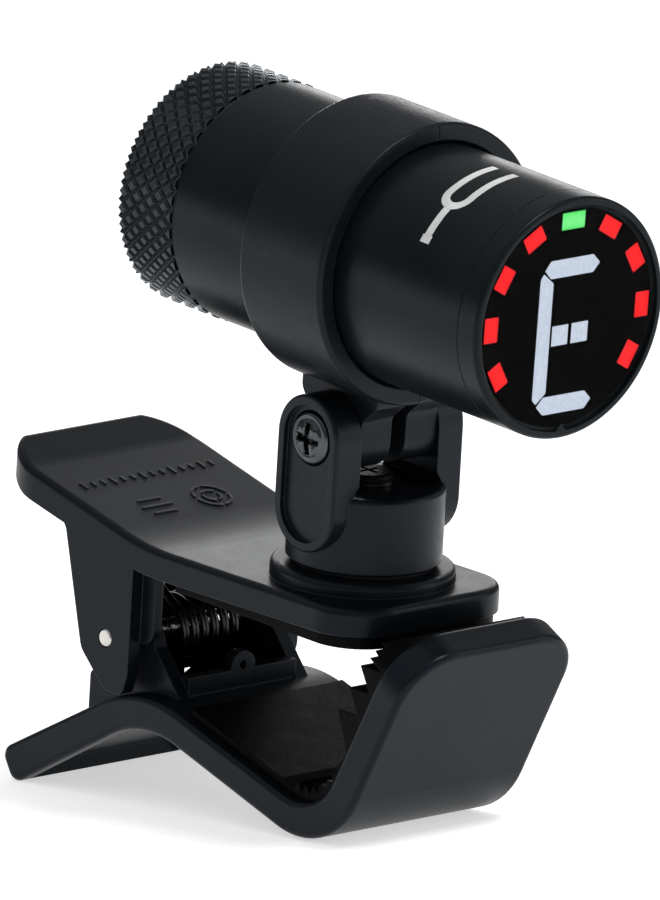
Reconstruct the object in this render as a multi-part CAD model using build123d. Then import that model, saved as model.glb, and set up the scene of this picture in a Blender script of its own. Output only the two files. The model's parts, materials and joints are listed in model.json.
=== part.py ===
"""Clip-on tuner: a sprung clip that carries a swivelling, tilting tube with a lit display.

Lengths are millimetres and angles are degrees. Each piece is drawn in the clip's own frame:
X points towards the display, Y across the clip, and Z up the swivel axis, with the origin on
that axis at the turret's foot. The last step stands the whole tuner on its handle and jaw.
"""
from build123d import *
import os
from math import asin, atan2, cos, degrees, hypot, radians, sin

# Clip
CLIP_HALF_WIDTH = 11.0
ARM_TOP = -1.6
ARM_THICKNESS = 2.7
ARM_NOSE_X = 11.0
ARM_REAR_X = -41.6
ARM_REAR_SLANT = 1.1
ARM_EDGE_RADIUS = 0.7
BOSS_RADIUS = 9.0
BOSS_TOP = -0.35
WALL_THICKNESS = 1.4
UPRIGHT_OUTER_Y = 8.3
UPRIGHT_THICKNESS = 1.5
JAW_CORNER_RADIUS = 9.5
FOOT_RADIUS = 1.2
ARM_SIDE_RADIUS = 0.6
REAR_FOOT = (-36.7, -30.5)
HANDLE_REAR_X = -38.8
UNDER_HUMP = (-18.8, -19.45)
JAW_CORNER = (9.3, -27.1)
JAW_OUTSIDE_END = (20.8, -2.9)
JAW_TOP = (17.1, -2.4)
JAW_OUTWARD = (0.904, -0.427)
JAW_TOP_RADIUS = 5.6
LINER_HALF_WIDTH = 9.8

# Hinge and spring
HINGE_X = -24.3
HINGE_Z = -12.6
PIN_RADIUS = 0.9
RUNNING_CLEARANCE = 0.05
SPRING_RADIUS = 2.9
SPRING_WIRE_RADIUS = 0.45
SPRING_TURNS = 5
SPRING_HALF_WIDTH = 3.4
UPPER_LEG_END = (-33.6, -3.55)
LOWER_LEG_END = (-33.0, -23.45)

# Turret and swivel
TURRET_RADIUS = 7.6
TURRET_TOP = 7.66
EAR_OUTER_Y = 8.25
EAR_INNER_Y = 5.0
EAR_RADIUS = 4.3
EAR_BOTTOM = 1.7
PIVOT_Z = 13.0
TILT_SCREW_RADIUS = 1.2
SWIVEL_SCREW_RADIUS = 1.5

# Tube, measured along its axis from the point above the tilt pivot
TUBE_AXIS_HEIGHT = 18.0
TUBE_DROOP = 1.27
TUBE_RADIUS = 12.0
TUBE_BORE = 10.9
TUBE_REAR = -17.4
TUBE_FRONT = 24.0
BEZEL_FRONT = 26.75
COLLAR_RADIUS = 14.07
COLLAR_REAR = -5.25
COLLAR_FRONT = 6.55
LUG_INNER_Y = 0.95
LUG_OUTER_Y = 4.8
CAP_REAR = -25.2
CAP_RADIUS = 12.15

# Display, seen from the front: across is Y, up is Z from the tube's axis
LIGHT_CIRCLE = 9.65
LIGHT_COUNT = 9
LIGHT_STEP = 30.0
LIGHT_WIDTH = 2.5
TOP_LIGHT_WIDTH = 2.9
LIGHT_HEIGHT = 1.7
MASK_BACK = 23.9
MASK_FRONT = 26.25
WINDOW_RADIUS = 11.25
WINDOW_FRONT = 26.65
CELL_RADIUS = 10.0
CELL_THICKNESS = 3.2
CELL_REAR = -16.1


# ---- Helpers ---------------------------------------------------------------------------------
def outline(points, radii):
    """Face inside a closed outline with rounded corners."""
    return make_face(FilletPolyline(*points, radius=radii, close=True))


def side_prism(face, low, high):
    """Solid of a side view face between two places across the clip."""
    return extrude(Plane.XZ.offset(-high) * face, amount=high - low)


def plan_prism(face, low, high):
    """Solid of a plan view face between two heights."""
    return extrude(Plane.XY.offset(low) * face, amount=high - low)


def tube_prism(face, rear, front):
    """Solid of a front view face between two places along the tube."""
    return extrude(Plane.YZ.offset(rear) * face, amount=front - rear)


def ring(outer, inner, rear, front):
    """Ring about the tube's axis."""
    return tube_prism(Circle(outer) - Circle(inner), rear, front)


def disc(radius, rear, front):
    """Disc about the tube's axis."""
    return tube_prism(Circle(radius), rear, front)


def cross_rod(radius, x, z, low, high):
    """Round rod across the clip between two Y places."""
    return side_prism(Pos(x, z) * Circle(radius), low, high)


def upright_rod(radius, low, high):
    """Round rod on the swivel axis between two heights."""
    return plan_prism(Circle(radius), low, high)


def both_sides(shape):
    """The shape and its mirror image across the clip."""
    return shape + mirror(shape, about=Plane.XZ)


def fillet_centre(before, corner, after, radius):
    """Centre of the arc that rounds a corner of a side view outline."""
    arms = []
    for point in (before, after):
        length = hypot(point[0] - corner[0], point[1] - corner[1])
        arms.append(((point[0] - corner[0]) / length, (point[1] - corner[1]) / length))
    bisector = (arms[0][0] + arms[1][0], arms[0][1] + arms[1][1])
    size = hypot(*bisector)
    half_angle = asin(abs(arms[0][0] * bisector[1] - arms[0][1] * bisector[0]) / size)
    reach = radius / sin(half_angle) / size
    return (corner[0] + bisector[0] * reach, corner[1] + bisector[1] * reach)


def tangent_angle(end, turning):
    """Angle on the spring's coil where a straight leg leaves it for a point."""
    across = end[0] - HINGE_X
    up = end[1] - HINGE_Z
    offset = degrees(asin(SPRING_RADIUS / hypot(across, up)))
    return degrees(atan2(up, across)) - turning * (90 - offset)


# ---- Lower half of the clip ------------------------------------------------------------------
def lower_profile():
    """Side view of the bent arm: handle, hump, jaw floor and front jaw plate."""
    points = [
        REAR_FOOT,
        UNDER_HUMP,
        JAW_CORNER,
        JAW_OUTSIDE_END,
        (17.7, -1.2),
        (7.15, -23.0),
        (-19.5, -16.05),
        (-38.7, -27.4),
    ]
    radii = [FOOT_RADIUS, 12.0, JAW_CORNER_RADIUS, 0, 0, 6.0, 14.5, 1.2]
    return outline(points, radii)


def lower_plan():
    """Plan view of the lower arm, with the handle's rounded corners."""
    side = CLIP_HALF_WIDTH
    points = [(HANDLE_REAR_X, -side), (30, -side), (30, side), (HANDLE_REAR_X, side)]
    return outline(points, [1.0, 0, 0, 1.0])


def jaw_plate_prism(side, drop, radius):
    """Space square to the jaw plate, under a rounded top a drop below the plate's own."""
    points = [(-side, -60), (side, -60), (side, -drop), (-side, -drop)]
    outward = (JAW_OUTWARD[0], 0, JAW_OUTWARD[1])
    plane = Plane(origin=(JAW_TOP[0], 0, JAW_TOP[1]), x_dir=(0, 1, 0), z_dir=outward)
    return extrude(plane.offset(-70) * outline(points, [0, 0, radius, radius]), amount=80)


def hinge_upright():
    """One of the two ears that carry the hinge pin."""
    points = [
        (-29.1, -21.6),
        (-29.1, -17.7),
        (-27.6, -15.6),
        (-27.4, -9.6),
        (-21.4, -9.6),
        (-19.9, -13.0),
        (-15.9, -17.3),
        (-15.9, -18.4),
    ]
    radii = [0, 0.4, 0.6, 2.4, 2.4, 1.0, 0.3, 0]
    inner = UPRIGHT_OUTER_Y - UPRIGHT_THICKNESS
    return side_prism(outline(points, radii), inner, UPRIGHT_OUTER_Y)


def cross_rib():
    """Rib between the uprights, with a drilled bump at its middle."""
    half_span = UPRIGHT_OUTER_Y - UPRIGHT_THICKNESS + 0.1
    rib = Pos(-16.9, 0, -16.6) * Box(1.2, 2 * half_span, 2.6)
    bump = tube_prism(Pos(0, -15.0) * Circle(1.5), -17.5, -16.3)
    hole = tube_prism(Pos(0, -14.9) * Circle(0.45), -18, -15.8)
    return rib + bump - hole


def spring_wall():
    """Wall behind the spring, with a slot and a notch for the spring's legs."""
    half_span = UPRIGHT_OUTER_Y - UPRIGHT_THICKNESS + 0.1
    wall = Pos(-28.6, 0, -16.1) * Box(1.0, 2 * half_span, 13.0)
    slot = Pos(-28.6, 3.85, -19.85) * Box(2.0, 1.6, 2.4)
    notch = Pos(-28.6, -3.9, -9.6) * Box(2.0, 3.0, 3.6)
    return wall - slot - notch


def handle_hollow():
    """Shallow pocket under the handle, inside a rim."""
    points = [(-35.8, -32), (-35.8, -28.45), (-25.0, -22.0), (-22.5, -20.8), (-22.5, -23.6)]
    return side_prism(outline(points, 0), -9.4, 9.4)


def make_lower_arm():
    """The lower half of the clip, moulded in one piece."""
    plate = side_prism(lower_profile(), -CLIP_HALF_WIDTH, CLIP_HALF_WIDTH)
    plate = plate & plan_prism(lower_plan(), -32, 0)
    plate = plate & jaw_plate_prism(CLIP_HALF_WIDTH, 0, JAW_TOP_RADIUS)
    plate = soften_lower_plate(plate)
    plate = plate - handle_hollow()
    body = plate + both_sides(hinge_upright()) + cross_rib() + spring_wall()
    return body - cross_rod(PIN_RADIUS, HINGE_X, HINGE_Z, -12, 12)


def soften_lower_plate(plate):
    """Round every edge along the arm's two sides and over the jaw plate's top."""
    chosen = []
    for edge in plate.edges():
        middle = edge @ 0.5
        cross_line = abs(middle.Y) < 0.01 and middle.Z < JAW_TOP[1] - 2.5
        if not cross_line and middle.X > HANDLE_REAR_X + 0.5:
            chosen.append(edge)
    return fillet(chosen, ARM_SIDE_RADIUS)


def liner_teeth():
    """Inner outline of the rubber: floor strip, small teeth, smooth face and large teeth."""
    centre = (3.67, -15.74)
    tip = 4.5
    root = 5.6
    first = -104.0
    last = -14.0
    teeth = 7
    step = (last - first) / teeth
    points = [(-12.7, -16.95), (0.9, -20.45)]
    for tooth in range(teeth):
        for share, radius in ((0.25, root), (0.75, tip + 0.12 * tooth)):
            angle = radians(first + (tooth + share) * step)
            points.append((centre[0] + radius * cos(angle), centre[1] + radius * sin(angle)))
    return points


def jaw_teeth():
    """Large saw teeth on the jaw plate, from the lowest tip to the top."""
    points = [(9.95, -15.9)]
    rise = 2.55
    for tooth in range(3):
        tip = (8.3 + 1.45 * tooth, -11.7 + rise * tooth)
        points.append(tip)
        points.append((tip[0] + 2.9, tip[1] + 0.05))
    for rib in range(3):
        low = -5.9 + 0.8 * rib
        points.append((12.35 + 0.42 * rib, low + 0.3))
        points.append((13.3 + 0.42 * rib, low + 0.7))
    return points


def make_lower_liner(arm):
    """Rubber lining of the lower jaw, cut to lie on the arm."""
    backing = [(16.3, -3.65), (17.5, -6.0), (11.2, -19.5), (5.2, -23.6), (-12.7, -18.8)]
    points = liner_teeth() + jaw_teeth() + backing
    body = side_prism(outline(points, 0), -LINER_HALF_WIDTH, LINER_HALF_WIDTH)
    body = body & jaw_plate_prism(LINER_HALF_WIDTH, 1.0, JAW_TOP_RADIUS - 0.8)
    return body - arm


# ---- Hinge -----------------------------------------------------------------------------------
def make_hinge_pin():
    """Steel pin across the clip, with chamfered ends."""
    length = CLIP_HALF_WIDTH + 0.05
    pin = cross_rod(PIN_RADIUS, HINGE_X, HINGE_Z, -length, length)
    ends = pin.edges().filter_by(GeomType.CIRCLE)
    return chamfer(ends, 0.15)


def make_torsion_spring():
    """Coil round the hinge pin, with two straight legs that push the handles apart."""
    start = tangent_angle(LOWER_LEG_END, -1)
    finish = tangent_angle(UPPER_LEG_END, 1)
    sweep_angle = (finish - start) % 360 + 360 * SPRING_TURNS
    pitch = 2 * SPRING_HALF_WIDTH / (sweep_angle / 360)
    first_way = (cos(radians(start)), 0, sin(radians(start)))
    across_clip = Plane(origin=(HINGE_X, SPRING_HALF_WIDTH, HINGE_Z), x_dir=first_way, z_dir=(0, -1, 0))
    coil = across_clip * Helix(pitch=pitch, height=2 * SPRING_HALF_WIDTH, radius=SPRING_RADIUS)
    lower_leg = Line((coil @ 0) - (coil % 0) * leg_length(LOWER_LEG_END), coil @ 0)
    upper_leg = Line(coil @ 1, (coil @ 1) + (coil % 1) * leg_length(UPPER_LEG_END))
    route = Wire([lower_leg.edge(), coil.edge(), upper_leg.edge()])
    section = Plane(origin=route @ 0, z_dir=route % 0) * Circle(SPRING_WIRE_RADIUS)
    return sweep(section, path=route)


def leg_length(end):
    """Length of a straight leg from the coil to its end."""
    return (hypot(end[0] - HINGE_X, end[1] - HINGE_Z) ** 2 - SPRING_RADIUS**2) ** 0.5


# ---- Upper half of the clip ------------------------------------------------------------------
def upper_profile():
    """Side view of the thumb plate, which turns up at the rear."""
    points = [
        (ARM_NOSE_X, ARM_TOP),
        (-19.5, -2.2),
        (-36.8, 1.55),
        (ARM_REAR_X, 3.3),
        (ARM_REAR_X - ARM_REAR_SLANT, 0.6),
        (-37.6, -1.35),
        (-19.8, -5.05),
        (ARM_NOSE_X, ARM_TOP - ARM_THICKNESS),
    ]
    return outline(points, [0, 30, 8, 0, 0, 6, 25, 0])


def upper_plan(inset):
    """Plan view of the upper arm."""
    side = CLIP_HALF_WIDTH - inset
    rear = ARM_REAR_X - ARM_REAR_SLANT - 0.1 + inset
    front = ARM_NOSE_X - inset
    points = [(rear, -side), (front, -side), (front, side), (rear, side)]
    return outline(points, [6.9, 5.5 - inset, 5.5 - inset, 6.9])


def side_wall():
    """Cheek that hangs from the thumb plate and holds the hinge pin."""
    points = [
        (-32.4, -0.8),
        (-30.8, -3.2),
        (-28.4, -11.9),
        (-27.7, -14.4),
        (-25.6, -16.3),
        (-24.0, -17.75),
        (-21.5, -17.75),
        (-20.8, -15.5),
        (-20.8, -3.4),
    ]
    radii = [0, 0, 8, 2.0, 0.6, 0.9, 1.0, 3, 0]
    inner = CLIP_HALF_WIDTH - WALL_THICKNESS
    return side_prism(outline(points, radii), inner, CLIP_HALF_WIDTH)


def wall_tab():
    """Tongue beside each cheek, set in from the outside."""
    points = [(-22.2, -3.6), (-22.2, -12.4), (-18.9, -12.4), (-18.9, -3.6)]
    inner = UPRIGHT_OUTER_Y + 0.3
    return side_prism(outline(points, [0, 1.6, 1.6, 0]), inner, CLIP_HALF_WIDTH - WALL_THICKNESS)


def make_upper_arm():
    """The upper half of the clip: thumb plate, cheeks and swivel boss."""
    plate = side_prism(upper_profile(), -CLIP_HALF_WIDTH, CLIP_HALF_WIDTH)
    plate = plate & plan_prism(upper_plan(0), -8, 8)
    plate = fillet([edge for edge in plate.edges() if on_top_rim(edge)], ARM_EDGE_RADIUS)
    boss = upright_rod(BOSS_RADIUS, -3.0, BOSS_TOP)
    boss = fillet(boss.edges().group_by(Axis.Z)[-1], 0.6)
    body = plate + boss + both_sides(side_wall()) + both_sides(wall_tab())
    body = body - cross_rod(PIN_RADIUS + RUNNING_CLEARANCE, HINGE_X, HINGE_Z, -12, 12)
    body = body - upright_rod(SWIVEL_SCREW_RADIUS, -6, 1)
    return body - nut_pocket()


def on_top_rim(edge):
    """True for the edges round the thumb plate's upper face."""
    middle = edge @ 0.5
    slope = 0.217 if middle.X < -19.5 else -0.02
    middle_height = ARM_TOP - 0.6 - ARM_THICKNESS / 2 - slope * (middle.X + 19.5)
    seam = abs(middle.Y) < 0.01 and ARM_REAR_X + 0.5 < middle.X < ARM_NOSE_X - 0.5
    upright_edge = abs((edge @ 0).Z - (edge @ 1).Z) > 2 and edge.length < 4
    return middle.Z > middle_height and not seam and not upright_edge


def nut_pocket():
    """Hexagonal pocket for the swivel nut, open underneath."""
    return plan_prism(RegularPolygon(3.2, 6), -6, -1.95)


def make_upper_liner(arm):
    """Ribbed rubber pad under the nose, cut to lie on the arm."""
    pad = plan_prism(upper_plan(0.45), -5.65, ARM_TOP - ARM_THICKNESS)
    keep = Pos(-2.0, 0, -5) * Box(26.0, 40, 4)
    pad = pad & keep
    for groove in range(6):
        pad = pad - Pos(-11.0 + 3.4 * groove, 0, -5.65) * Box(0.9, 17, 0.8)
    return pad - arm


def make_swivel_nut():
    """Hexagonal nut in the underside of the upper arm."""
    nut = plan_prism(RegularPolygon(3.15, 6), -4.25, -1.95)
    return nut - upright_rod(SWIVEL_SCREW_RADIUS, -6, 0)


def make_swivel_washer():
    """Thin slippery washer between boss and turret."""
    washer = upright_rod(7.0, BOSS_TOP, -RUNNING_CLEARANCE)
    return washer - upright_rod(SWIVEL_SCREW_RADIUS, -1, 1)


def make_spring_washer():
    """Spring washer under the swivel screw's head."""
    low = TURRET_TOP + RUNNING_CLEARANCE
    washer = upright_rod(2.7, low, 8.0) - upright_rod(SWIVEL_SCREW_RADIUS, 7, 9)
    gap = Pos(-2.2, 0, 8) * Box(2.0, 0.4, 2)
    return washer - gap


def make_swivel_screw():
    """Pan head screw that holds the turret down on the boss."""
    head = upright_rod(2.5, 8.0, 8.75)
    head = fillet(head.edges().group_by(Axis.Z)[-1], 0.4)
    shank = upright_rod(SWIVEL_SCREW_RADIUS, -4.2, 8.1)
    cross = Pos(0, 0, 8.75) * (Box(2.6, 0.5, 0.7) + Box(0.5, 2.6, 0.7))
    return head + shank - cross


# ---- Turret ----------------------------------------------------------------------------------
def stadium(radius, centre_low, centre_high):
    """Side view face of an upright stadium."""
    top = Pos(0, centre_high) * Circle(radius)
    bottom = Pos(0, centre_low) * Circle(radius)
    middle = Pos(0, (centre_low + centre_high) / 2) * Rectangle(2 * radius, centre_high - centre_low)
    return top + bottom + middle


def ear():
    """One ear of the turret, with its recessed outer face."""
    low_centre = EAR_BOTTOM + EAR_RADIUS
    plate = side_prism(stadium(EAR_RADIUS, low_centre, PIVOT_Z), EAR_INNER_Y, EAR_OUTER_Y)
    plate = fillet(plate.edges().group_by(Axis.Y)[-1], 0.35)
    pocket = stadium(EAR_RADIUS - 0.95, low_centre, PIVOT_Z)
    plate = plate - side_prism(pocket, EAR_OUTER_Y - 0.6, EAR_OUTER_Y + 1)
    undercut = make_face(Polyline((EAR_INNER_Y - 1, 10.3), (5.95, 7.4), (EAR_INNER_Y - 1, 7.4), close=True))
    return plate - tube_prism(undercut, -6, 6)


def make_turret():
    """Round foot with two ears, drilled for the swivel and tilt screws."""
    foot = upright_rod(TURRET_RADIUS, 0, TURRET_TOP)
    foot = fillet(foot.edges().group_by(Axis.Z)[-1], 0.45)
    foot = chamfer(foot.edges().group_by(Axis.Z)[0], 0.3)
    body = foot + both_sides(ear())
    body = body - upright_rod(SWIVEL_SCREW_RADIUS + RUNNING_CLEARANCE, -1, 9)
    body = body - cross_rod(TILT_SCREW_RADIUS, 0, PIVOT_Z, -9, 9)
    seat = cross_rod(2.75, 0, PIVOT_Z, -9, -EAR_OUTER_Y + 1.3)
    nut_seat = side_prism(Pos(0, PIVOT_Z) * RegularPolygon(2.95, 6), EAR_OUTER_Y - 2.2, 9)
    return body - seat - nut_seat


def make_tilt_screw():
    """Cross recess screw that the head tilts on."""
    head_low = -EAR_OUTER_Y - 0.2
    head = cross_rod(2.65, 0, PIVOT_Z, head_low, head_low + 1.45)
    head = fillet(head.edges().group_by(Axis.Y)[0], 0.7)
    shank = cross_rod(TILT_SCREW_RADIUS, 0, PIVOT_Z, head_low + 1, EAR_OUTER_Y - 0.7)
    cross = Pos(0, head_low, PIVOT_Z) * (Box(3.1, 1.6, 0.75) + Box(0.75, 1.6, 3.1))
    return head + shank - cross


def make_tilt_nut():
    """Hexagonal nut in the far ear."""
    nut = side_prism(Pos(0, PIVOT_Z) * RegularPolygon(2.9, 6), EAR_OUTER_Y - 2.15, EAR_OUTER_Y - 0.6)
    return nut - cross_rod(TILT_SCREW_RADIUS, 0, PIVOT_Z, 0, 10)


# ---- Collar, drawn in the tube's frame -------------------------------------------------------
def lug():
    """Lug under one collar half, flared into the ring."""
    drop = -TUBE_AXIS_HEIGHT
    points = [
        (-5.0, drop + 6.2),
        (-5.0, drop + 3.6),
        (-3.9, drop + 2.0),
        (-3.9, drop - 3.3),
        (3.9, drop - 3.3),
        (3.9, drop + 2.2),
        (5.9, drop + 4.0),
        (5.9, drop + 6.2),
    ]
    return side_prism(outline(points, [0, 1.2, 1.2, 3.0, 3.0, 1.4, 0.9, 0]), LUG_INNER_Y, LUG_OUTER_Y)


def collar_half():
    """Half of the clamp ring, on the +Y side."""
    body = ring(COLLAR_RADIUS, TUBE_RADIUS + RUNNING_CLEARANCE, COLLAR_REAR, COLLAR_FRONT)
    body = body.solids()[0]
    rims = body.edges().filter_by(GeomType.CIRCLE)
    body = fillet([edge for edge in rims if edge.radius > 13], 0.5)
    rims = body.edges().filter_by(GeomType.CIRCLE)
    body = chamfer([edge for edge in rims if edge.radius < 12.5], 0.35)
    body = body + lug()
    body = body - disc(TUBE_RADIUS + RUNNING_CLEARANCE, -30, 30)
    body = body + ring(TUBE_RADIUS + 0.2, TUBE_RADIUS - 0.45, 0.0, 1.4)
    body = body & Pos(0, 20.06, 0) * Box(60, 40, 80)
    return body - cross_rod(TILT_SCREW_RADIUS + RUNNING_CLEARANCE, 0, -TUBE_AXIS_HEIGHT, -12, 12)


def make_collar_far():
    """Collar half on the +Y side."""
    return collar_half()


def make_collar_near():
    """Collar half on the -Y side."""
    return mirror(collar_half(), about=Plane.XZ)


# ---- Tube and what it holds, drawn in the tube's frame ---------------------------------------
def make_tube():
    """Smooth barrel with a groove for the collar's rib."""
    body = ring(TUBE_RADIUS, TUBE_BORE, TUBE_REAR, TUBE_FRONT)
    rear_edges = body.edges().filter_by(GeomType.CIRCLE).group_by(Axis.X)[0]
    body = chamfer(rear_edges.sort_by(SortBy.RADIUS)[-1], 0.25)
    return body - ring(TUBE_RADIUS + 1, TUBE_RADIUS - 0.55, -0.1, 1.5)


def make_front_bezel():
    """Ring round the display, with the key that sets the window upright."""
    body = ring(TUBE_RADIUS, WINDOW_RADIUS, TUBE_FRONT + 0.12, BEZEL_FRONT)
    front = [edge for edge in body.edges() if edge.geom_type == GeomType.CIRCLE and (edge @ 0).X > 26]
    body = fillet([edge for edge in front if edge.radius > 11.6], 0.45)
    body = body + ring(TUBE_RADIUS - 0.3, WINDOW_RADIUS, TUBE_FRONT, TUBE_FRONT + 0.2)
    body = body + ring(WINDOW_RADIUS + 0.1, 10.85, TUBE_FRONT, MASK_FRONT)
    return body + tube_prism(key_outline(0), MASK_FRONT, WINDOW_FRONT)


def key_outline(gap):
    """Small triangle at the bottom of the window's seat."""
    low = -WINDOW_RADIUS - 0.2
    return make_face(Polyline((-0.75 - gap, low), (0.75 + gap, low), (0, low + 1.0 + 2 * gap), close=True))


def make_display_window():
    """Smoked window, notched for the key."""
    return disc(WINDOW_RADIUS, MASK_FRONT, WINDOW_FRONT) - tube_prism(key_outline(0.02), 24, 27)


def light_face(index, width, height):
    """Front view face of one pitch bar. The middle bar is at the top."""
    angle = (index - LIGHT_COUNT // 2) * LIGHT_STEP
    across = LIGHT_CIRCLE * sin(radians(angle))
    up = LIGHT_CIRCLE * cos(radians(angle))
    return Pos(across, up) * Rot(0, 0, -angle) * Rectangle(width, height)


def bar_face(index):
    """Front view face of one lit bar. The top bar is wider than the others."""
    width = TOP_LIGHT_WIDTH if index == LIGHT_COUNT // 2 else LIGHT_WIDTH
    return light_face(index, width, LIGHT_HEIGHT)


def segment_faces():
    """Front view faces of the lit note: three strokes and two dots."""
    top = make_face(
        Polyline((-3.2, 5.0), (-2.5, 5.9), (2.9, 5.9), (3.8, 5.0), (3.0, 4.1), (-2.4, 4.1), close=True)
    )
    bottom = make_face(
        Polyline((-3.1, -8.6), (-2.3, -7.7), (3.0, -7.7), (3.9, -8.6), (3.1, -9.5), (-2.2, -9.5), close=True)
    )
    stem = make_face(
        Polyline((-3.7, 4.2), (-3.3, 4.7), (-2.0, 3.6), (-2.0, -7.3), (-3.2, -8.3), (-3.7, -7.8), close=True)
    )
    left_dot = Pos(-0.72, -1.7) * Rectangle(2.05, 2.0)
    right_dot = Pos(1.78, -1.7) * Rectangle(2.1, 2.0)
    return [top, bottom, stem, left_dot, right_dot]


def make_display_mask():
    """Black plate with an opening for each light."""
    body = disc(10.8, MASK_BACK, MASK_FRONT)
    for index in range(LIGHT_COUNT):
        body = body - tube_prism(bar_face(index), MASK_BACK - 1, MASK_FRONT + 1)
    for face in segment_faces():
        body = body - tube_prism(face, MASK_FRONT - 0.7, MASK_FRONT + 1)
    return body


def make_pitch_lights(green):
    """The bars of one colour. Only the top bar is green."""
    middle = LIGHT_COUNT // 2
    chosen = [index for index in range(LIGHT_COUNT) if (index == middle) == green]
    bars = [tube_prism(bar_face(index), 24.5, MASK_FRONT) for index in chosen]
    return Compound([bar.solid() for bar in bars])


def make_note_segments():
    """The strokes and dots of the lit note."""
    return Compound([tube_prism(face, MASK_FRONT - 0.7, MASK_FRONT).solid() for face in segment_faces()])


def make_light_chips():
    """One small chip behind each pitch bar."""
    chips = [tube_prism(light_face(index, 1.6, 0.8), MASK_BACK, 24.4) for index in range(LIGHT_COUNT)]
    return Compound([chip.solid() for chip in chips])


def make_display_board():
    """Round circuit board that carries the lights."""
    return disc(10.2, 22.3, MASK_BACK)


def make_main_board():
    """Long circuit board along the tube."""
    return Pos(7.0, 0, -3.0) * Box(30.0, 15.0, 1.0)


def make_control_chip():
    """Square chip on the long board."""
    return Pos(10.0, 0, -1.9) * Box(7.0, 7.0, 1.2)


def make_piezo_disc():
    """Brass vibration sensor on the long board's underside."""
    return Pos(-1.0, 0, -3.5) * extrude(Plane.XY * Circle(5.0), amount=-0.6)


def make_battery_holder():
    """Ring that centres the coin cell in the tube."""
    seat = CELL_REAR + CELL_THICKNESS
    body = ring(TUBE_BORE, CELL_RADIUS + 0.1, CELL_REAR, seat)
    body = body + ring(TUBE_BORE, 7.5, seat, seat + 1.6)
    post_low = Pos(-9.4, 0, -4.6) * Box(4.1, 16.0, 2.2)
    post_high = Pos(-9.4, 0, -1.4) * Box(4.1, 16.0, 2.2)
    return body + post_low + post_high


def make_coin_cell():
    """Coin cell across the tube, with its smaller negative face to the rear."""
    can = disc(CELL_RADIUS, CELL_REAR + 0.4, CELL_REAR + CELL_THICKNESS)
    face = disc(8.6, CELL_REAR, CELL_REAR + 0.5)
    return fillet(can.edges(), 0.3) + face


def make_positive_contact():
    """Spring brass disc between the cell and the holder's shelf."""
    seat = CELL_REAR + CELL_THICKNESS
    return disc(7.2, seat, seat + 0.3)


# ---- Rear cap --------------------------------------------------------------------------------
def make_knurled_cap():
    """End cap with a grooved grip; its spigot turns in the tube."""
    gap = 0.12
    body = disc(CAP_RADIUS, CAP_REAR, TUBE_REAR - gap)
    body = fillet(body.edges().group_by(Axis.X)[0], 0.45)
    body = body + disc(TUBE_BORE - RUNNING_CLEARANCE, TUBE_REAR - 1, -16.35)
    body = body - disc(9.0, -21.5, -16)
    body = body - disc(8.4, CAP_REAR - 1, CAP_REAR + 0.5)
    return body - ring(TUBE_BORE + 1, TUBE_BORE - 0.6, TUBE_REAR - 0.12, TUBE_REAR + 0.6)


def make_cap_seal():
    """Rubber ring in the spigot's groove."""
    section = Plane.XZ * Pos(TUBE_REAR + 0.24, TUBE_BORE - 0.33) * Rectangle(0.6, 0.5)
    return revolve(section, axis=Axis.X)


def make_cap_contact():
    """Dished spring disc in the cap that presses on the cell."""
    base = disc(6.5, -21.5, -21.2)
    stem = disc(2.6, -21.3, -16.5)
    return base + stem - disc(2.2, -22, -16.8)


# ---- Assembly --------------------------------------------------------------------------------
def stand_angle():
    """Slope of the line that touches the handle's foot and the jaw's corner from below."""
    rear = fillet_centre((-37.4, -26.85), REAR_FOOT, UNDER_HUMP, FOOT_RADIUS)
    front = fillet_centre(UNDER_HUMP, JAW_CORNER, JAW_OUTSIDE_END, JAW_CORNER_RADIUS)
    across = front[0] - rear[0]
    up = front[1] - rear[1]
    return degrees(atan2(up, across) - asin((JAW_CORNER_RADIUS - FOOT_RADIUS) / hypot(across, up)))


def clip_pieces():
    """Pieces drawn in the clip's frame."""
    lower_arm = make_lower_arm()
    upper_arm = make_upper_arm()
    return {
        "lower_arm": lower_arm,
        "lower_jaw_liner": make_lower_liner(lower_arm),
        "hinge_pin": make_hinge_pin(),
        "torsion_spring": make_torsion_spring(),
        "upper_arm": upper_arm,
        "upper_jaw_liner": make_upper_liner(upper_arm),
        "swivel_nut": make_swivel_nut(),
        "swivel_washer": make_swivel_washer(),
        "spring_washer": make_spring_washer(),
        "swivel_screw": make_swivel_screw(),
        "turret": make_turret(),
        "tilt_screw": make_tilt_screw(),
        "tilt_nut": make_tilt_nut(),
    }


def tube_pieces():
    """Pieces drawn in the tube's frame."""
    return {
        "collar_near": make_collar_near(),
        "collar_far": make_collar_far(),
        "tube": make_tube(),
        "front_bezel": make_front_bezel(),
        "display_window": make_display_window(),
        "display_mask": make_display_mask(),
        "pitch_lights_red": make_pitch_lights(False),
        "pitch_light_green": make_pitch_lights(True),
        "note_segments": make_note_segments(),
        "light_chips": make_light_chips(),
        "display_board": make_display_board(),
        "main_board": make_main_board(),
        "control_chip": make_control_chip(),
        "piezo_disc": make_piezo_disc(),
        "battery_holder": make_battery_holder(),
        "coin_cell": make_coin_cell(),
        "positive_contact": make_positive_contact(),
        "knurled_cap": make_knurled_cap(),
        "cap_seal": make_cap_seal(),
        "cap_contact": make_cap_contact(),
    }


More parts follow.
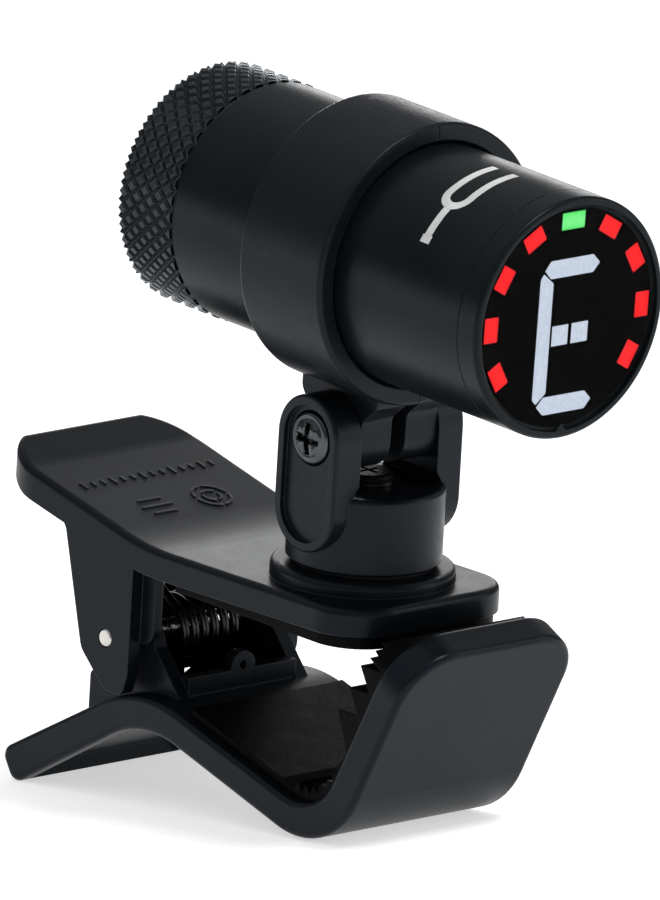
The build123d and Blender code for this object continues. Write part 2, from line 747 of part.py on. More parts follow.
def build():
    """All pieces, standing on the surface with the origin under the middle of the tuner."""
    tube_place = Pos(0, 0, PIVOT_Z) * Rot(0, TUBE_DROOP, 0) * Pos(0, 0, TUBE_AXIS_HEIGHT)
    pieces = clip_pieces()
    for name, shape in tube_pieces().items():
        pieces[name] = tube_place * shape
    lean = Rot(0, stand_angle(), 0)
    standing = {name: lean * shape for name, shape in pieces.items()}
    box = Compound([solid for shape in standing.values() for solid in shape.solids()]).bounding_box()
    move = Pos(-(box.min.X + box.max.X) / 2, -(box.min.Y + box.max.Y) / 2, -box.min.Z)
    return {name: move * shape for name, shape in standing.items()}, move * lean, move * lean * tube_place


def main():
    """Write one STEP file for each piece."""
    os.makedirs("parts", exist_ok=True)
    pieces, _, _ = build()
    for name, shape in pieces.items():
        export_step(shape, f"parts/{name}.step")


main()
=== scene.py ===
"""Looks of the clip on tuner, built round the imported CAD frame.

Lengths are metres, apart from the shapes of the new meshes, which are drawn in millimetres.
"""
import json
import math

import bmesh
import bpy
from mathutils import Matrix, Vector


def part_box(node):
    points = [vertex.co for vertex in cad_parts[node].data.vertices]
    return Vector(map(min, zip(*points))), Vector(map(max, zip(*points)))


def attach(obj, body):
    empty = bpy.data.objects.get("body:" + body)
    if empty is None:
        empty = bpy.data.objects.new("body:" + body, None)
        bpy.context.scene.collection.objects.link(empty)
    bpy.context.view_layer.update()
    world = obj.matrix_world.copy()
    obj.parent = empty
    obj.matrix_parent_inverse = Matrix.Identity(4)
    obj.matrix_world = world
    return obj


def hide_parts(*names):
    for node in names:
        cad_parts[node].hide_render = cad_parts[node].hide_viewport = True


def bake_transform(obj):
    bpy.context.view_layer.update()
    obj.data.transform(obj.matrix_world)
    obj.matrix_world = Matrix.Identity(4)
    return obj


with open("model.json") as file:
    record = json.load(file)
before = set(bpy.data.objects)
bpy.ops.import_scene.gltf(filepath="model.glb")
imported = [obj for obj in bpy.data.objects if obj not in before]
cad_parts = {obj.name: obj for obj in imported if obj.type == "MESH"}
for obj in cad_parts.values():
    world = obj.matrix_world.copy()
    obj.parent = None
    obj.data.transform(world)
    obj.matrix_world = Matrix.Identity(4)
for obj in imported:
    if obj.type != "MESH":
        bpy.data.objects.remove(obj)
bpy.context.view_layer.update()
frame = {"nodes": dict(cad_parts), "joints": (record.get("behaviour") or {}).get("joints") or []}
nodes = frame["nodes"]
joints = {joint["name"]: joint for joint in frame["joints"]}
MM = 0.001


# ---- Places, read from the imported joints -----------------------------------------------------
def place_on(joint, x_way, z_way):
    """Matrix with its origin on a joint, X and Z along the given directions."""
    z_axis = Vector(z_way).normalized()
    x_axis = Vector(x_way).normalized()
    y_axis = z_axis.cross(x_axis)
    turn = Matrix((x_axis, y_axis, z_axis)).transposed().to_4x4()
    return Matrix.Translation(Vector(joint["pos_m"])) @ turn


def across_from(way):
    """The direction square to a direction in the tuner's middle plane."""
    return Vector((way[2], 0, -way[0]))


swivel_way = joints["turret_swivel"]["axis"]
tube_way = joints["barrel_roll"]["axis"]
CLIP = place_on(joints["turret_swivel"], across_from(swivel_way), swivel_way)
TUBE = place_on(joints["barrel_roll"], tube_way, -across_from(tube_way))
HINGE = Vector(joints["jaw_hinge"]["pos_m"])


# ---- Camera ----------------------------------------------------------------------------------
AZIMUTH, ELEVATION, ROLL = (math.radians(angle) for angle in (47.631, 15.485, 3.333))
PIXELS_PER_METRE = 10384.7
# The lens grows with the distance. Past about 3 m it is so long that a view from another angle
# stands too far off, and the tuner falls outside the far clip.
DISTANCE = 2.9
IMAGE = (660, 900)
SWIVEL_PIXEL = (363.45, 556.96)
SENSOR_MM = 36.0
CLIP_NEAR, CLIP_FAR = 0.1, 20


def make_camera():
    """Long lens, turned with the clip so that the view follows the way the tuner stands."""
    sin_a, cos_a = math.sin(AZIMUTH), math.cos(AZIMUTH)
    sin_e, cos_e = math.sin(ELEVATION), math.cos(ELEVATION)
    right = Vector((cos_a, sin_a, 0))
    up = Vector((-sin_a * sin_e, cos_a * sin_e, cos_e))
    back = Vector((sin_a * cos_e, -cos_a * cos_e, sin_e))
    x_axis = math.cos(ROLL) * right + math.sin(ROLL) * up
    y_axis = -math.sin(ROLL) * right + math.cos(ROLL) * up
    turn = CLIP.to_3x3() @ Matrix((x_axis, y_axis, back)).transposed()
    offset_x = (SWIVEL_PIXEL[0] - IMAGE[0] / 2) / PIXELS_PER_METRE
    offset_y = (IMAGE[1] / 2 - SWIVEL_PIXEL[1]) / PIXELS_PER_METRE
    data = bpy.data.cameras.new("camera")
    data.sensor_width = SENSOR_MM
    data.lens = PIXELS_PER_METRE * DISTANCE / IMAGE[1] * data.sensor_width
    data.clip_start = CLIP_NEAR
    data.clip_end = CLIP_FAR
    camera = bpy.data.objects.new("camera", data)
    bpy.context.scene.collection.objects.link(camera)
    place = CLIP.to_translation() + turn @ Vector((-offset_x, -offset_y, DISTANCE))
    camera.matrix_world = Matrix.Translation(place) @ turn.to_4x4()
    bpy.context.scene.camera = camera


# ---- Materials -------------------------------------------------------------------------------
def add_node(tree, kind, links=None, **values):
    """A shader node, with its inputs set to values or linked to other nodes' outputs."""
    node = tree.nodes.new(kind)
    for name, value in values.items():
        setattr(node, name, value)
    for socket, value in (links or {}).items():
        target = node.inputs[socket]
        if isinstance(value, bpy.types.NodeSocket):
            tree.links.new(value, target)
        else:
            target.default_value = value
    return node


def new_material(name):
    """An empty node material and its principled shader."""
    material = bpy.data.materials.new(name)
    material.use_nodes = True
    tree = material.node_tree
    return material, tree, tree.nodes["Principled BSDF"]


def noise(tree, coords, scale, detail=3.0, roughness=0.5):
    """Noise texture output."""
    links = {"Vector": coords, "Scale": scale, "Detail": detail, "Roughness": roughness}
    return add_node(tree, "ShaderNodeTexNoise", links).outputs["Fac"]


def object_coords(tree):
    """Texture coordinates that stay with the object."""
    return tree.nodes.new("ShaderNodeTexCoord").outputs["Object"]


def calculate(tree, operation, first, second=None):
    """Result of a sum on one or two values."""
    links = {0: first} if second is None else {0: first, 1: second}
    return add_node(tree, "ShaderNodeMath", links, operation=operation).outputs[0]


def spread(tree, value, low, high, start=0.3, end=0.7):
    """A texture value mapped to a range."""
    links = {"Value": value, "From Min": start, "From Max": end, "To Min": low, "To Max": high}
    return add_node(tree, "ShaderNodeMapRange", links).outputs["Result"]


def blend_colours(tree, factor, first, second):
    """Mix of two colours by a factor."""
    node = tree.nodes.new("ShaderNodeMix")
    node.data_type = "RGBA"
    tree.links.new(factor, node.inputs[0])
    for socket, value in ((node.inputs[6], first), (node.inputs[7], second)):
        if isinstance(value, bpy.types.NodeSocket):
            tree.links.new(value, socket)
        else:
            socket.default_value = (*value, 1.0)
    return node.outputs[2]


def worn_and_highlit_edges(tree, radius):
    """Soft corner normals, and a mask that is 1 on sharp corners."""
    bevel = add_node(tree, "ShaderNodeBevel", {"Radius": radius}, samples=6)
    geometry = tree.nodes.new("ShaderNodeNewGeometry")
    normals = {0: bevel.outputs["Normal"], 1: geometry.outputs["Normal"]}
    dot = add_node(tree, "ShaderNodeVectorMath", normals, operation="DOT_PRODUCT")
    mask = spread(tree, dot.outputs["Value"], 1.0, 0.0, 0.80, 0.995)
    return bevel.outputs["Normal"], mask


def add_bump(tree, shader, height, normal, strength, depth_mm):
    """Bump from a height, over given normals."""
    links = {"Height": height, "Normal": normal, "Strength": strength, "Distance": depth_mm * MM}
    bumped = add_node(tree, "ShaderNodeBump", links)
    tree.links.new(bumped.outputs["Normal"], shader.inputs["Normal"])


def moulded(
    name,
    colour,
    wear_and_highlight_colour,
    rough,
    grain=0.25,
    grain_scale=5200.0,
    bump=0.12,
    depth=0.02,
    edge=0.12,
    metallic=0.0,
    specular=0.5,
    coat=0.0,
    tint=(1.0, 1.0, 1.0),
):
    """Moulded or painted surface: mottled colour, grained gloss and bump, and sharp edges in a lighter
    colour that is partly rubbed wear, partly a painted highlight.
    """
    material, tree, shader = new_material(name)
    coords = object_coords(tree)
    soft_normal, edge_mask = worn_and_highlit_edges(tree, edge * MM)
    cloud = noise(tree, coords, 90.0, 4.0, 0.6)
    speck = noise(tree, coords, grain_scale, 2.0, 0.6)
    smear = noise(tree, coords, 420.0, 5.0, 0.65)
    darker = tuple(channel * 0.72 for channel in colour)
    lighter = tuple(channel * 1.3 for channel in colour)
    base = blend_colours(tree, spread(tree, cloud, 0.0, 1.0), darker, lighter)
    # Sharp edges take the edge colour: partly rubbed wear, partly a painted highlight line.
    rubbed_and_highlit = calculate(tree, "MULTIPLY", edge_mask, spread(tree, smear, 0.15, 0.9))
    tree.links.new(blend_colours(tree, rubbed_and_highlit, base, wear_and_highlight_colour), shader.inputs["Base Color"])
    fine = spread(tree, speck, -grain, grain)
    broad = spread(tree, smear, -grain * 0.5, grain * 0.5)
    gloss = calculate(tree, "ADD", calculate(tree, "ADD", fine, broad), 1.0)
    tree.links.new(calculate(tree, "MULTIPLY", gloss, rough), shader.inputs["Roughness"])
    height = calculate(tree, "ADD", speck, spread(tree, cloud, -0.2, 0.2))
    add_bump(tree, shader, height, soft_normal, bump, depth)
    shader.inputs["Metallic"].default_value = metallic
    shader.inputs["Specular IOR Level"].default_value = specular
    shader.inputs["Specular Tint"].default_value = (*tint, 1.0)
    shader.inputs["Coat Weight"].default_value = coat
    return material


def metal(name, colour, rough):
    """Bare metal with fine marks, stains and rubbed edges."""
    material, tree, shader = new_material(name)
    coords = object_coords(tree)
    soft_normal, edge_mask = worn_and_highlit_edges(tree, 0.05 * MM)
    marks = noise(tree, coords, 2600.0, 4.0, 0.6)
    stain = noise(tree, coords, 500.0, 4.0, 0.6)
    dark = tuple(channel * 0.62 for channel in colour)
    bright = tuple(min(channel * 1.2, 0.95) for channel in colour)
    base = blend_colours(tree, spread(tree, stain, 0.0, 1.0), colour, dark)
    tree.links.new(blend_colours(tree, edge_mask, base, bright), shader.inputs["Base Color"])
    tree.links.new(spread(tree, marks, rough * 0.7, rough * 1.4), shader.inputs["Roughness"])
    add_bump(tree, shader, marks, soft_normal, 0.25, 0.01)
    shader.inputs["Metallic"].default_value = 1.0
    return material


def off_middle(tree, coords, centre_mm):
    """How far a point is from a circle about the tube's axis."""
    to_tube = TUBE.inverted()
    turn = {"Location": to_tube.to_translation(), "Rotation": to_tube.to_euler()}
    local = add_node(tree, "ShaderNodeMapping", {"Vector": coords, **turn})
    split = add_node(tree, "ShaderNodeSeparateXYZ", {0: local.outputs["Vector"]})
    sides = {"Y": split.outputs["Y"], "Z": split.outputs["Z"]}
    flat = add_node(tree, "ShaderNodeCombineXYZ", sides)
    length = add_node(tree, "ShaderNodeVectorMath", {0: flat.outputs[0]}, operation="LENGTH")
    off = calculate(tree, "SUBTRACT", length.outputs["Value"], centre_mm * MM)
    return calculate(tree, "ABSOLUTE", off)


def lit(name, core, rim, strength, centre_mm=None):
    """Lit plastic. A bar is palest along its middle, at its distance from the tube's axis."""
    material, tree, shader = new_material(name)
    coords = object_coords(tree)
    grain = noise(tree, coords, 2600.0, 2.0, 0.5)
    if centre_mm is None:
        fade = spread(tree, grain, 0.0, 1.0)
    else:
        half = 0.85
        away = off_middle(tree, coords, centre_mm)
        inner, outer = half * 0.35 * MM, half * 1.1 * MM
        edge_fade = spread(tree, away, 0.0, 1.0, inner, outer)
        fade = calculate(tree, "MULTIPLY", edge_fade, spread(tree, grain, 0.85, 1.15))
    tree.links.new(blend_colours(tree, fade, core, rim), shader.inputs["Emission Color"])
    shader.inputs["Base Color"].default_value = (0.03, 0.03, 0.03, 1.0)
    shader.inputs["Specular IOR Level"].default_value = 0.05
    shader.inputs["Emission Strength"].default_value = strength
    shader.inputs["Roughness"].default_value = 0.4
    return material


def smoked(name):
    """Polished smoked window with faint swirls in its gloss."""
    material, tree, shader = new_material(name)
    swirl = noise(tree, object_coords(tree), 260.0, 5.0, 0.6)
    smoke = blend_colours(tree, swirl, (0.80, 0.81, 0.82), (0.74, 0.75, 0.76))
    tree.links.new(smoke, shader.inputs["Base Color"])
    tree.links.new(spread(tree, swirl, 0.004, 0.02), shader.inputs["Roughness"])
    shader.inputs["Transmission Weight"].default_value = 1.0
    shader.inputs["IOR"].default_value = 1.06
    return material


def paint(obj, material):
    """Gives an object one material in all its slots."""
    slots = obj.data.materials
    for index in range(len(slots)):
        slots[index] = material
    if not slots:
        slots.append(material)


def make_materials():
    """Every material, by the name of the CAD node it goes on."""
    cool = (0.80, 0.91, 1.0)
    # The second colour of each moulded material goes on its sharp edges: rubbed wear plus a painted
    # highlight line.
    arm = moulded(
        "arm_plastic",
        (0.0042, 0.0060, 0.0082),
        (0.080, 0.092, 0.105),
        0.34,
        grain=0.12,
        bump=0.08,
        edge=0.16,
        specular=0.14,
        tint=cool,
    )
    turret = moulded(
        "turret_plastic",
        (0.0052, 0.0068, 0.0094),
        (0.060, 0.068, 0.080),
        0.36,
        edge=0.14,
        specular=0.18,
        tint=cool,
    )
    barrel = moulded(
        "barrel_paint",
        (0.0038, 0.0060, 0.0068),
        (0.050, 0.058, 0.062),
        0.32,
        grain=0.15,
        bump=0.06,
        edge=0.10,
        specular=0.13,
        tint=cool,
    )
    collar = moulded(
        "collar_plastic",
        (0.0050, 0.0062, 0.0084),
        (0.060, 0.068, 0.078),
        0.38,
        edge=0.14,
        specular=0.16,
        tint=cool,
    )
    # Near-black rubber, darkened further as painted shade for the liners in the shaded mouth; the cap
    # seal shares it.
    rubber = moulded(
        "jaw_rubber",
        (0.0009, 0.0010, 0.0013),
        (0.008, 0.009, 0.011),
        0.52,
        grain=0.2,
        grain_scale=3800,
        bump=0.3,
        depth=0.03,
        edge=0.25,
        specular=0.05,
    )
    # Its much lighter edge colour paints glints on the diamond edges.
    knurl = moulded(
        "knurled_metal",
        (0.014, 0.017, 0.019),
        (0.13, 0.14, 0.145),
        0.30,
        grain=0.3,
        bump=0.15,
        edge=0.07,
        metallic=0.35,
        specular=0.35,
        tint=cool,
    )
    washer = moulded("nylon", (0.004, 0.004, 0.005), (0.012, 0.012, 0.012), 0.45, specular=0.2)
    mask = moulded(
        "mask_black",
        (0.0016, 0.0016, 0.0014),
        (0.003, 0.003, 0.003),
        0.7,
        bump=0.05,
        specular=0.0,
    )
    board = moulded(
        "solder_mask",
        (0.012, 0.075, 0.035),
        (0.06, 0.16, 0.08),
        0.32,
        bump=0.1,
        coat=0.4,
    )
    chip = moulded("chip_black", (0.010, 0.010, 0.010), (0.03, 0.03, 0.03), 0.5)
    resin = moulded("chip_resin", (0.72, 0.62, 0.28), (0.9, 0.85, 0.6), 0.2, bump=0.03)
    pin = metal("pin_steel", (0.72, 0.70, 0.66), 0.26)
    spring = metal("spring_wire", (0.055, 0.055, 0.056), 0.30)
    screw = metal("screw_black_nickel", (0.085, 0.092, 0.098), 0.20)
    # Near black and barely glossy: painted shade for the swivel screw sunk between the lugs; its light
    # edge colour is a painted glint.
    seat_screw = moulded(
        "screw_painted_shade_black",
        (0.004, 0.004, 0.0045),
        (0.12, 0.12, 0.12),
        0.5,
        edge=0.05,
        specular=0.07,
    )
    brass = metal("sensor_brass", (0.75, 0.55, 0.25), 0.28)
    cell = metal("cell_steel", (0.72, 0.72, 0.71), 0.22)
    red = lit("light_red", (1.0, 0.006, 0.010), (0.84, 0.001, 0.003), 1.35, 9.65)
    green = lit("light_green", (0.19, 0.92, 0.25), (0.07, 0.80, 0.12), 1.25, 9.65)
    white = lit("light_white", (0.63, 0.69, 0.80), (0.52, 0.59, 0.70), 1.25)
    table = {
        arm: ["lower_arm", "upper_arm"],
        turret: ["turret"],
        barrel: ["tube", "front_bezel"],
        collar: ["collar_near", "collar_far"],
        rubber: ["lower_jaw_liner", "upper_jaw_liner", "cap_seal"],
        knurl: ["knurled_cap"],
        washer: ["swivel_washer", "battery_holder"],
        mask: ["display_mask"],
        board: ["display_board", "main_board"],
        chip: ["control_chip"],
        resin: ["light_chips"],
        pin: ["hinge_pin"],
        spring: ["torsion_spring", "spring_washer"],
        screw: ["tilt_screw", "swivel_nut", "tilt_nut"],
        seat_screw: ["swivel_screw"],
        brass: ["piezo_disc", "positive_contact", "cap_contact"],
        cell: ["coin_cell"],
        red: ["pitch_lights_red"],
        green: ["pitch_light_green"],
        white: ["note_segments"],
        smoked("smoked_window"): ["display_window"],
    }
    return {node: material for material, names in table.items() for node in names}


# ---- Mesh helpers ----------------------------------------------------------------------------
def new_mesh(name, points, faces, place, material, body, smooth=None):
    """Mesh object from points in millimetres in a place's frame, riding on a body."""
    mesh = bpy.data.meshes.new(name)
    mesh.from_pydata([place @ (Vector(point) * MM) for point in points], [], faces)
    mesh.validate()
    mesh.update()
    obj = bpy.data.objects.new(name, mesh)
    bpy.context.scene.collection.objects.link(obj)
    mesh.materials.append(material)
    shell = bmesh.new()
    shell.from_mesh(mesh)
    bmesh.ops.remove_doubles(shell, verts=shell.verts, dist=1e-7)
    bmesh.ops.recalc_face_normals(shell, faces=shell.faces)
    shell.to_mesh(mesh)
    shell.free()
    if smooth is not None:
        mesh.shade_smooth()
        mesh.set_sharp_from_angle(angle=math.radians(smooth))
    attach(obj, body)
    return obj


def lathe(profile, steps):
    """Points and faces of a closed outline of (along, radius) pairs turned about X."""
    points = []
    faces = []
    count = len(profile)
    for step in range(steps):
        angle = 2 * math.pi * step / steps
        for along, radius in profile:
            points.append((along, radius * math.cos(angle), radius * math.sin(angle)))
    for step in range(steps):
        after = (step + 1) % steps
        for index in range(count):
            following = (index + 1) % count
            near, far = step * count, after * count
            faces.append((near + index, near + following, far + following, far + index))
    return points, faces


# ---- Knurled cap -----------------------------------------------------------------------------
def make_knurled_cap(material):
    """Cap with real flat-topped diamonds round its grip."""
    tip = 12.10
    root = tip - 0.40
    rear = -25.18
    front = -17.54
    round_count = 44
    pitch = 1.95
    points = []
    faces = []

    def put(angle, along, radius):
        points.append((along, radius * math.cos(angle), radius * math.sin(angle)))
        return len(points) - 1

    step = 2 * math.pi / round_count
    rows = int((front - rear) / (pitch / 2)) + 3
    top = 0.50
    corners = ((1, 0), (0, 1), (-1, 0), (0, -1))
    for row in range(rows):
        along = rear + row * pitch / 2 - 0.35
        for column in range(round_count):
            angle = (column + 0.5 * (row % 2)) * step
            base = [put(angle + a * step / 2, along + u * pitch / 2, root) for a, u in corners]
            crown = [
                put(angle + a * step / 2 * top, along + u * pitch / 2 * top, tip) for a, u in corners
            ]
            faces.append(tuple(crown))
            for side in range(4):
                after = (side + 1) % 4
                faces.append((base[side], base[after], crown[after], crown[side]))
    knurl = new_mesh("grip_knurl", points, faces, TUBE, material, "cap")
    shell = bmesh.new()
    shell.from_mesh(knurl.data)
    axis = TUBE.to_3x3() @ Vector((1, 0, 0))
    for cut, clear_outer in ((rear + 0.12, False), (front - 0.05, True)):
        where = TUBE @ Vector((cut * MM, 0, 0))
        everything = shell.verts[:] + shell.edges[:] + shell.faces[:]
        bmesh.ops.bisect_plane(
            shell,
            geom=everything,
            dist=1e-8,
            plane_co=where,
            plane_no=axis,
            clear_outer=clear_outer,
            clear_inner=not clear_outer,
        )
    shell.to_mesh(knurl.data)
    shell.free()
    soften = knurl.modifiers.new("soften", "BEVEL")
    soften.width = 0.05 * MM
    soften.segments = 2
    soften.limit_method = "ANGLE"
    soften.angle_limit = math.radians(20)
    profile = [
        (rear + 0.55, 0.02),
        (rear + 0.55, 8.1),
        (rear + 0.45, 8.35),
        (rear + 0.05, 8.45),
        (rear, 8.6),
        (rear, root - 0.15),
        (rear + 0.15, root + 0.02),
        (front - 0.05, root + 0.02),
        (front, root - 0.05),
        (front, 10.5),
        (-16.4, 10.5),
        (-16.4, 9.0),
        (-21.5, 9.0),
        (-21.5, 0.02),
    ]
    core = new_mesh("cap_core", *lathe(profile, 160), TUBE, material, "cap", smooth=28)
    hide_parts("knurled_cap")


# ---- Window ----------------------------------------------------------------------------------
def make_window(material):
    """Smoked window with a slightly domed face and a softened edge."""
    back = 26.28
    radius = 11.22
    edge_front = 26.52
    profile = [(back, 0.01), (back, radius)]
    profile += [(edge_front - 0.12, radius), (edge_front, radius - 0.12)]
    for step in range(1, 12):
        reach = (radius - 0.12) * (1 - step / 12)
        profile.append((edge_front + 0.10 * (1 - (reach / radius) ** 2), reach))
    profile.append((edge_front + 0.10, 0.01))
    window = new_mesh("window_lens", *lathe(profile, 128), TUBE, material, "barrel", smooth=40)
    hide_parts("display_window")


# ---- Marks on the plastic --------------------------------------------------------------------
def raised(outlines, low, high):
    """Points and faces of flat-topped solids over outlines, between two height functions."""
    points = []
    faces = []
    for outline in outlines:
        start, count = len(points), len(outline)
        points += [(x, y, low(x)) for x, y in outline] + [(x, y, high(x)) for x, y in outline]
        faces.append(tuple(start + count + index for index in range(count)))
        faces.append(tuple(start + count - 1 - index for index in range(count)))
        for index in range(count):
            after = (index + 1) % count
            faces.append((start + index, start + after, start + count + after, start + count + index))
    return points, faces


def make_mould_marks(material):
    """A row of dashes, three bars and a broken ring, raised on the sloping thumb plate."""
    relief = 0.11

    def plate_top(x):
        return -2.2 + (-19.5 - x) * 0.21676

    def bar(x, y, half_x, half_y):
        left, right, low, high = x - half_x, x + half_x, y - half_y, y + half_y
        return [(left, low), (right, low), (right, high), (left, high)]

    def arc_piece(x, y, radius, width, first, last):
        steps = [math.radians(first + (last - first) * step / 8) for step in range(9)]
        hole = radius - width
        outer = [(x + radius * math.cos(angle), y + radius * math.sin(angle)) for angle in steps]
        inner = [(x + hole * math.cos(angle), y + hole * math.sin(angle)) for angle in reversed(steps)]
        return outer + inner

    outlines = []
    for index in range(14):
        half_length = 0.42 if index % 3 else 0.62
        outlines.append(bar(-31.7, -8.2 + 1.26 * index, half_length, 0.17))
    for turn in range(4):
        outlines.append(arc_piece(-26.0, 3.4, 2.1, 0.32, 90 * turn + 6, 90 * turn + 84))
    for turn in range(3):
        outlines.append(arc_piece(-26.0, 3.4, 1.1, 0.30, 120 * turn + 10, 120 * turn + 110))
    for row in (-1, 0, 1):
        outlines.append(bar(-26.0 + 1.3 * row, -3.6, 0.17, 1.9 - 0.45 * abs(row)))
    sunk = 0.1
    points, faces = raised(outlines, lambda x: plate_top(x) - sunk, lambda x: plate_top(x) + relief)
    marks = new_mesh("mould_marks", points, faces, CLIP, material, "upper_clip")
    soften = marks.modifiers.new("soften", "BEVEL")
    soften.width = 0.05 * MM
    soften.segments = 2


def make_barrel_print(material):
    """A tuning fork in white ink, laid round the barrel in front of the collar."""
    along, turn_start = 16.6, 148.0
    surface, ink = 12.0, 0.025
    arms, bend, stem = 6.0, 1.45, 4.4
    line = [(arms + stem + bend, bend), (stem + bend, bend)]
    for step in range(1, 16):
        angle = math.pi * step / 16
        line.append((stem + bend - bend * math.sin(angle), bend * math.cos(angle)))
    line += [(stem + bend, -bend), (arms + stem + bend, -bend)]
    routes = [(line, 0.45), ([(0.35, 0), (stem, 0)], 0.45), ([(-0.1, 0), (0.75, 0)], 0.62)]
    points = []
    faces = []
    for route, half in routes:
        fine = []
        for (u0, v0), (u1, v1) in zip(route, route[1:]):
            parts = max(1, int(math.hypot(u1 - u0, v1 - v0) / 0.3))
            for part in range(parts):
                fine.append((u0 + (u1 - u0) * part / parts, v0 + (v1 - v0) * part / parts))
        fine.append(route[-1])
        start = len(points)
        for index, (u, v) in enumerate(fine):
            u0, v0 = fine[max(index - 1, 0)]
            u1, v1 = fine[min(index + 1, len(fine) - 1)]
            size = math.hypot(u1 - u0, v1 - v0)
            for side, depth in ((half, ink), (-half, ink), (-half, -ink), (half, -ink)):
                round_u, along_v = u - side * (v1 - v0) / size, v + side * (u1 - u0) / size
                angle = math.radians(turn_start) - round_u / surface
                reach = surface + depth
                points.append((along - along_v, reach * math.cos(angle), reach * math.sin(angle)))
        for index in range(len(fine) - 1):
            here, after = start + 4 * index, start + 4 * index + 4
            for side in range(4):
                following = (side + 1) % 4
                faces.append((here + side, here + following, after + following, after + side))
        faces.append((start, start + 1, start + 2, start + 3))
        faces.append(tuple(start + 4 * len(fine) - 4 + side for side in range(4)))
    new_mesh("barrel_print", points, faces, TUBE, material, "barrel")


# ---- Tilt screw ------------------------------------------------------------------------------
def make_tilt_screw(material):
    """Pan head screw with a rounded cross recess, on the tilt axis."""
    place = place_on(joints["head_tilt"], across_from(swivel_way), (0, -1, 0))
    low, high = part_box("tilt_screw")
    axis_y = joints["head_tilt"]["pos_m"][1]
    crown = (axis_y - low[1]) / MM
    end = (axis_y - high[1]) / MM
    radius = 2.64
    steps = 96

    def crown_height(x, y):
        reach = math.hypot(x, y)
        height = crown - 0.02 - 0.42 * (reach / 2.3) ** 2
        off = min(max(abs(x) - 0.38, abs(y) - 1.55), max(abs(x) - 1.55, abs(y) - 0.38))
        sunk = min(max(0.05 - off, 0) / 0.22, 1)
        lobe = math.exp(-((abs(x) - 0.95) ** 2 + (abs(y) - 0.95) ** 2) / 0.16)
        ring_dip = math.exp(-((reach - 1.95) / 0.2) ** 2)
        return height - 0.85 * sunk * sunk * (3 - 2 * sunk) + 0.16 * lobe - 0.12 * ring_dip

    rings = [(2.3 * index / 34, None) for index in range(1, 35)]
    rings += [
        (2.48, crown - 0.58),
        (2.6, crown - 0.78),
        (radius, crown - 1.0),
        (radius, crown - 1.45),
        (1.2, crown - 1.45),
        (1.2, end + 0.15),
        (1.05, end),
    ]
    points = [(0, 0, crown_height(0, 0))]
    for reach, height in rings:
        for step in range(steps):
            angle = 2 * math.pi * (step + 0.5) / steps
            x, y = reach * math.cos(angle), reach * math.sin(angle)
            points.append((x, y, crown_height(x, y) if height is None else height))
    faces = [(0, 1 + step, 1 + (step + 1) % steps) for step in range(steps)]
    for index in range(len(rings) - 1):
        for step in range(steps):
            after = (step + 1) % steps
            here = 1 + index * steps
            faces.append((here + step, here + steps + step, here + steps + after, here + after))
    faces.append(tuple(1 + (len(rings) - 1) * steps + step for step in range(steps)))
    screw = new_mesh("tilt_screw_turned", points, faces, place, material, "turret", smooth=50)
    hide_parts("tilt_screw")


# ---- Torsion spring --------------------------------------------------------------------------
def make_spring(material):
    """Wound wire whose two legs follow the two halves of the clip."""
    radius, wire, turns, half = 2.9, 0.44, 5, 3.4
    centre = CLIP.inverted() @ HINGE / MM

    def leave(end, turning):
        across, up = end[0] - centre.x, end[1] - centre.z
        return math.atan2(up, across) - turning * math.acos(radius / math.hypot(across, up))

    lower, upper = (-33.0, -23.45), (-33.6, -3.55)
    start, finish = leave(lower, -1), leave(upper, 1)
    total = (finish - start) % (2 * math.pi) + 2 * math.pi * turns
    line = [(lower[0], half + 0.1, lower[1])]
    steps = 170
    for step in range(steps + 1):
        angle = start + total * step / steps
        x, z = centre.x + radius * math.cos(angle), centre.z + radius * math.sin(angle)
        line.append((x, half - 2 * half * step / steps, z))
    line.append((upper[0], -half - 0.1, upper[1]))
    curve = bpy.data.curves.new("spring_line", "CURVE")
    curve.dimensions = "3D"
    spline = curve.splines.new("POLY")
    spline.points.add(len(line) - 1)
    for point, place in zip(spline.points, line):
        point.co = (*(CLIP @ (Vector(place) * MM)), 1)
    curve.bevel_depth = wire * MM
    curve.bevel_resolution = 5
    curve.use_fill_caps = True
    holder = bpy.data.objects.new("spring_holder", curve)
    bpy.context.scene.collection.objects.link(holder)
    graph = bpy.context.evaluated_depsgraph_get()
    mesh = bpy.data.meshes.new_from_object(holder.evaluated_get(graph))
    bpy.data.objects.remove(holder)
    spring = bpy.data.objects.new("spring_coil", mesh)
    bpy.context.scene.collection.objects.link(spring)
    mesh.materials.clear()
    mesh.materials.append(material)
    mesh.shade_smooth()
    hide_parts("torsion_spring")
    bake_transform(spring)


# ---- Stage -----------------------------------------------------------------------------------
def emitter(name, place, aim, size, power):
    """Soft box at a place, facing a point."""
    data = bpy.data.lights.new(name, "AREA")
    data.shape = "RECTANGLE"
    data.size, data.size_y = size
    data.energy = power
    light = bpy.data.objects.new(name, data)
    bpy.context.scene.collection.objects.link(light)
    light.location = Vector(place)
    light.rotation_mode = "QUATERNION"
    light.rotation_quaternion = (Vector(aim) - Vector(place)).to_track_quat("-Z", "Y")


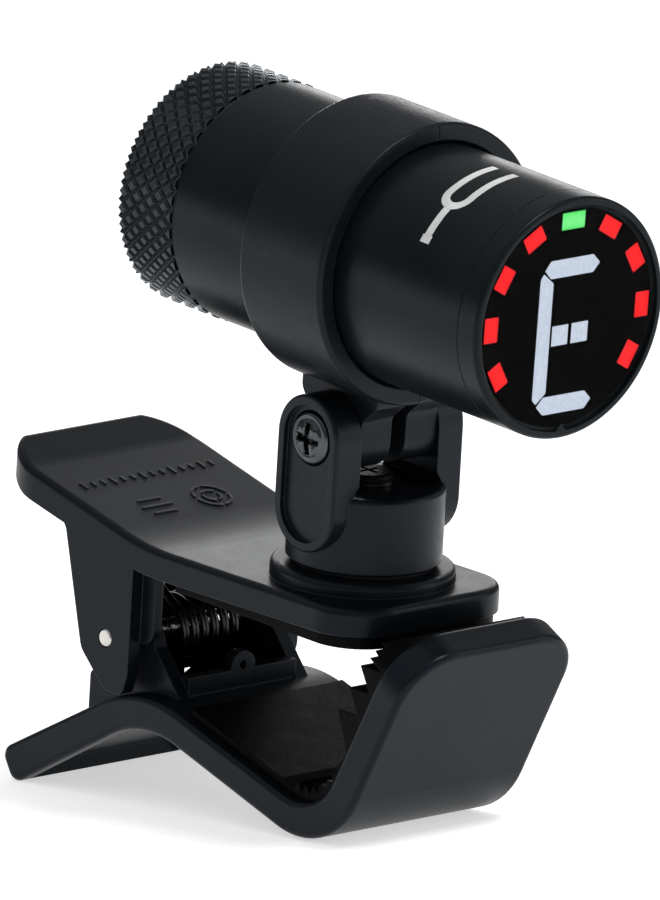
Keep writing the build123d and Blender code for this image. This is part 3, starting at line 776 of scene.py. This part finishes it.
def make_stage():
    """Pale floor and soft studio light."""
    floor_size = 6.0
    bpy.ops.mesh.primitive_plane_add(size=floor_size)
    floor = bpy.context.object
    floor.name = "floor"
    material, tree, shader = new_material("lit_paper")
    grain = noise(tree, object_coords(tree), 900.0, 3.0, 0.6)
    paper = blend_colours(tree, spread(tree, grain, 0, 1), (0.90, 0.90, 0.90), (0.93, 0.93, 0.93))
    tree.links.new(paper, shader.inputs["Base Color"])
    tree.links.new(paper, shader.inputs["Emission Color"])
    shader.inputs["Emission Strength"].default_value = 0.62
    shader.inputs["Roughness"].default_value = 0.8
    shader.inputs["Specular IOR Level"].default_value = 0.1
    paint(floor, material)
    world = bpy.data.worlds.new("studio")
    bpy.context.scene.world = world
    world.use_nodes = True
    tree = world.node_tree
    background = tree.nodes["Background"]
    sky = tree.nodes.new("ShaderNodeTexCoord").outputs["Generated"]
    way = add_node(tree, "ShaderNodeSeparateXYZ", {0: sky})
    ramp = tree.nodes.new("ShaderNodeValToRGB")
    tree.links.new(way.outputs["Z"], ramp.inputs["Fac"])
    stops = [(0.0, 0.10), (0.2, 0.15), (0.4, 0.30), (0.62, 0.46), (0.85, 0.6), (1.0, 0.7)]
    while len(ramp.color_ramp.elements) < len(stops):
        ramp.color_ramp.elements.new(0.5)
    for element, (position, value) in zip(ramp.color_ramp.elements, stops):
        element.position = position
        element.color = (value, value, value * 1.03, 1)
    tree.links.new(ramp.outputs["Color"], background.inputs["Color"])
    background.inputs["Strength"].default_value = 1.0
    for name, place, size, power in (
        ("back_card", (-0.17, 0.165, 0.098), (0.16, 0.04), 0.085),
        ("front_glint", (0.30, 0.04, 0.52), (0.06, 0.06), 1.2),
        ("right_box", (0.34, 0.37, 0.16), (0.20, 0.20), 0.36),
        ("left_card", (-0.45, -0.39, 0.06), (0.25, 0.12), 0.15),
    ):
        emitter(name, place, (0, 0, 0.03), size, power)
    bpy.context.scene.view_settings.view_transform = "Standard"


# ---- Build -----------------------------------------------------------------------------------
make_camera()
materials = make_materials()
for node_name, node_material in materials.items():
    paint(nodes[node_name], node_material)
make_knurled_cap(materials["knurled_cap"])
make_window(materials["display_window"])
make_spring(materials["torsion_spring"])
make_tilt_screw(materials["tilt_screw"])
make_mould_marks(materials["upper_arm"])
white_ink = moulded(
    "print_white", (0.80, 0.81, 0.80), (0.85, 0.85, 0.84), 0.4, bump=0.05, specular=0.3
)
make_barrel_print(white_ink)
make_stage()
